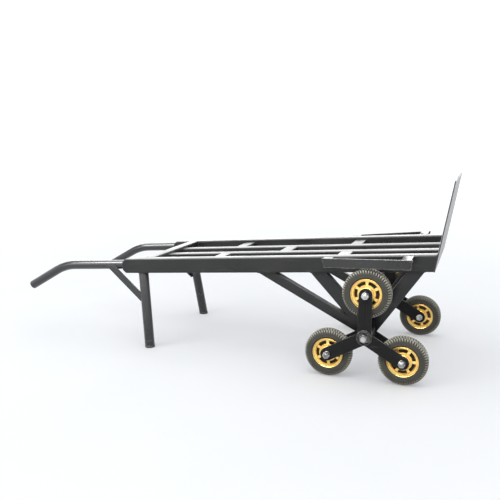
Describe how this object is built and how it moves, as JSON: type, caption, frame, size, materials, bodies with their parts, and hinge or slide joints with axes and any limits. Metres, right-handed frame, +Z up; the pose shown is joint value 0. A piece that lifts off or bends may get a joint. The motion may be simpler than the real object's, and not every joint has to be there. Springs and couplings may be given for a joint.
{
  "type": "stair climbing trolley",
  "caption": "Long steel flatbed trolley with bent tube handles, two legs, a leaning toe plate and a three-wheel stair climbing cluster on each side.",
  "frame": {"origin": "on the floor under the middle of the trolley's box, standing on both legs and the two lower wheels of each cluster", "axes": "+X along the trolley from the handles to the toe plate, +Y to the trolley's left seen from the handles, +Z up from the floor"},
  "size_m": [1.5201, 0.588, 0.6027],
  "materials": {
    "frame_black": "satin black paint over rough steel, with fine dust and rubbed edges",
    "star_black": "satin black paint on flat plate, rubbed at the edges",
    "handle_black": "semi-gloss black paint on round tube",
    "plug": "matt black moulded plastic",
    "foot_rubber": "matt black rubber",
    "toe_steel": "grey-black paint, scuffed plate",
    "zinc": "bright zinc plate",
    "axle_steel": "turned steel with light oil",
    "bush": "sintered bronze",
    "rim_gold": "glossy gold lacquer on pressed steel",
    "tyre": "matt olive-grey rubber, dusty"
  },
  "bodies": {
    "frame": {"side_rail_right": "frame_black", "side_rail_left": "frame_black", "bed_slat_right": "frame_black", "bed_slat_left": "frame_black", "handle_end_crossbar": "frame_black", "spacer_bars_outer": "frame_black", "spacer_bar_middle": "frame_black", "handle_tube_right": "handle_black", "handle_tube_left": "handle_black", "handle_end_plugs": "plug", "leg_tube_right": "frame_black", "leg_tube_left": "frame_black", "leg_feet": "foot_rubber", "leg_brace_right": "frame_black", "leg_brace_left": "frame_black", "toe_plate": "toe_steel", "strut_front_right": "frame_black", "strut_rear_right": "frame_black", "long_brace_right": "frame_black", "strut_front_left": "frame_black", "strut_rear_left": "frame_black", "long_brace_left": "frame_black", "axle_bosses": "frame_black", "main_axle": "axle_steel", "axle_nuts": "zinc", "axle_washers": "zinc", "wheel_guard_right": "frame_black", "wheel_guard_left": "frame_black", "guard_brackets": "frame_black"},
    "cluster_right": {"star_plate_outer_right": "star_black", "star_plate_inner_right": "star_black", "hub_tube_right": "star_black", "hub_bushes_right": "bush", "wheel_bolts_right": "zinc", "wheel_nuts_right": "zinc", "wheel_washers_right": "zinc", "wheel_bearings_right": "axle_steel", "wheel_spacers_right": "zinc"},
    "wheel_top_right": {"tyre_top_right": "tyre", "rim_top_right": "rim_gold"},
    "wheel_rear_right": {"tyre_rear_right": "tyre", "rim_rear_right": "rim_gold"},
    "wheel_front_right": {"tyre_front_right": "tyre", "rim_front_right": "rim_gold"},
    "cluster_left": {"star_plate_outer_left": "star_black", "star_plate_inner_left": "star_black", "hub_tube_left": "star_black", "hub_bushes_left": "bush", "wheel_bolts_left": "zinc", "wheel_nuts_left": "zinc", "wheel_washers_left": "zinc", "wheel_bearings_left": "axle_steel", "wheel_spacers_left": "zinc"},
    "wheel_top_left": {"tyre_top_left": "tyre", "rim_top_left": "rim_gold"},
    "wheel_rear_left": {"tyre_rear_left": "tyre", "rim_rear_left": "rim_gold"},
    "wheel_front_left": {"tyre_front_left": "tyre", "rim_front_left": "rim_gold"}
  },
  "joints": [
    {"name": "cluster_spin_right", "type": "hinge", "parent": "frame", "child": "cluster_right", "pos_m": [0.52945, -0.248, 0.1385], "axis": [0, 1, 0], "continuous": true},
    {"name": "wheel_spin_top_right", "type": "hinge", "parent": "cluster_right", "child": "wheel_top_right", "pos_m": [0.52945, -0.248, 0.2685], "axis": [0, 1, 0], "continuous": true},
    {"name": "wheel_spin_rear_right", "type": "hinge", "parent": "cluster_right", "child": "wheel_rear_right", "pos_m": [0.41687, -0.248, 0.0735], "axis": [0, 1, 0], "continuous": true},
    {"name": "wheel_spin_front_right", "type": "hinge", "parent": "cluster_right", "child": "wheel_front_right", "pos_m": [0.64204, -0.248, 0.0735], "axis": [0, 1, 0], "continuous": true},
    {"name": "cluster_spin_left", "type": "hinge", "parent": "frame", "child": "cluster_left", "pos_m": [0.52945, 0.248, 0.1385], "axis": [0, 1, 0], "continuous": true},
    {"name": "wheel_spin_top_left", "type": "hinge", "parent": "cluster_left", "child": "wheel_top_left", "pos_m": [0.52945, 0.248, 0.2685], "axis": [0, 1, 0], "continuous": true},
    {"name": "wheel_spin_rear_left", "type": "hinge", "parent": "cluster_left", "child": "wheel_rear_left", "pos_m": [0.41687, 0.248, 0.0735], "axis": [0, 1, 0], "continuous": true},
    {"name": "wheel_spin_front_left", "type": "hinge", "parent": "cluster_left", "child": "wheel_front_left", "pos_m": [0.64204, 0.248, 0.0735], "axis": [0, 1, 0], "continuous": true}
  ]
}
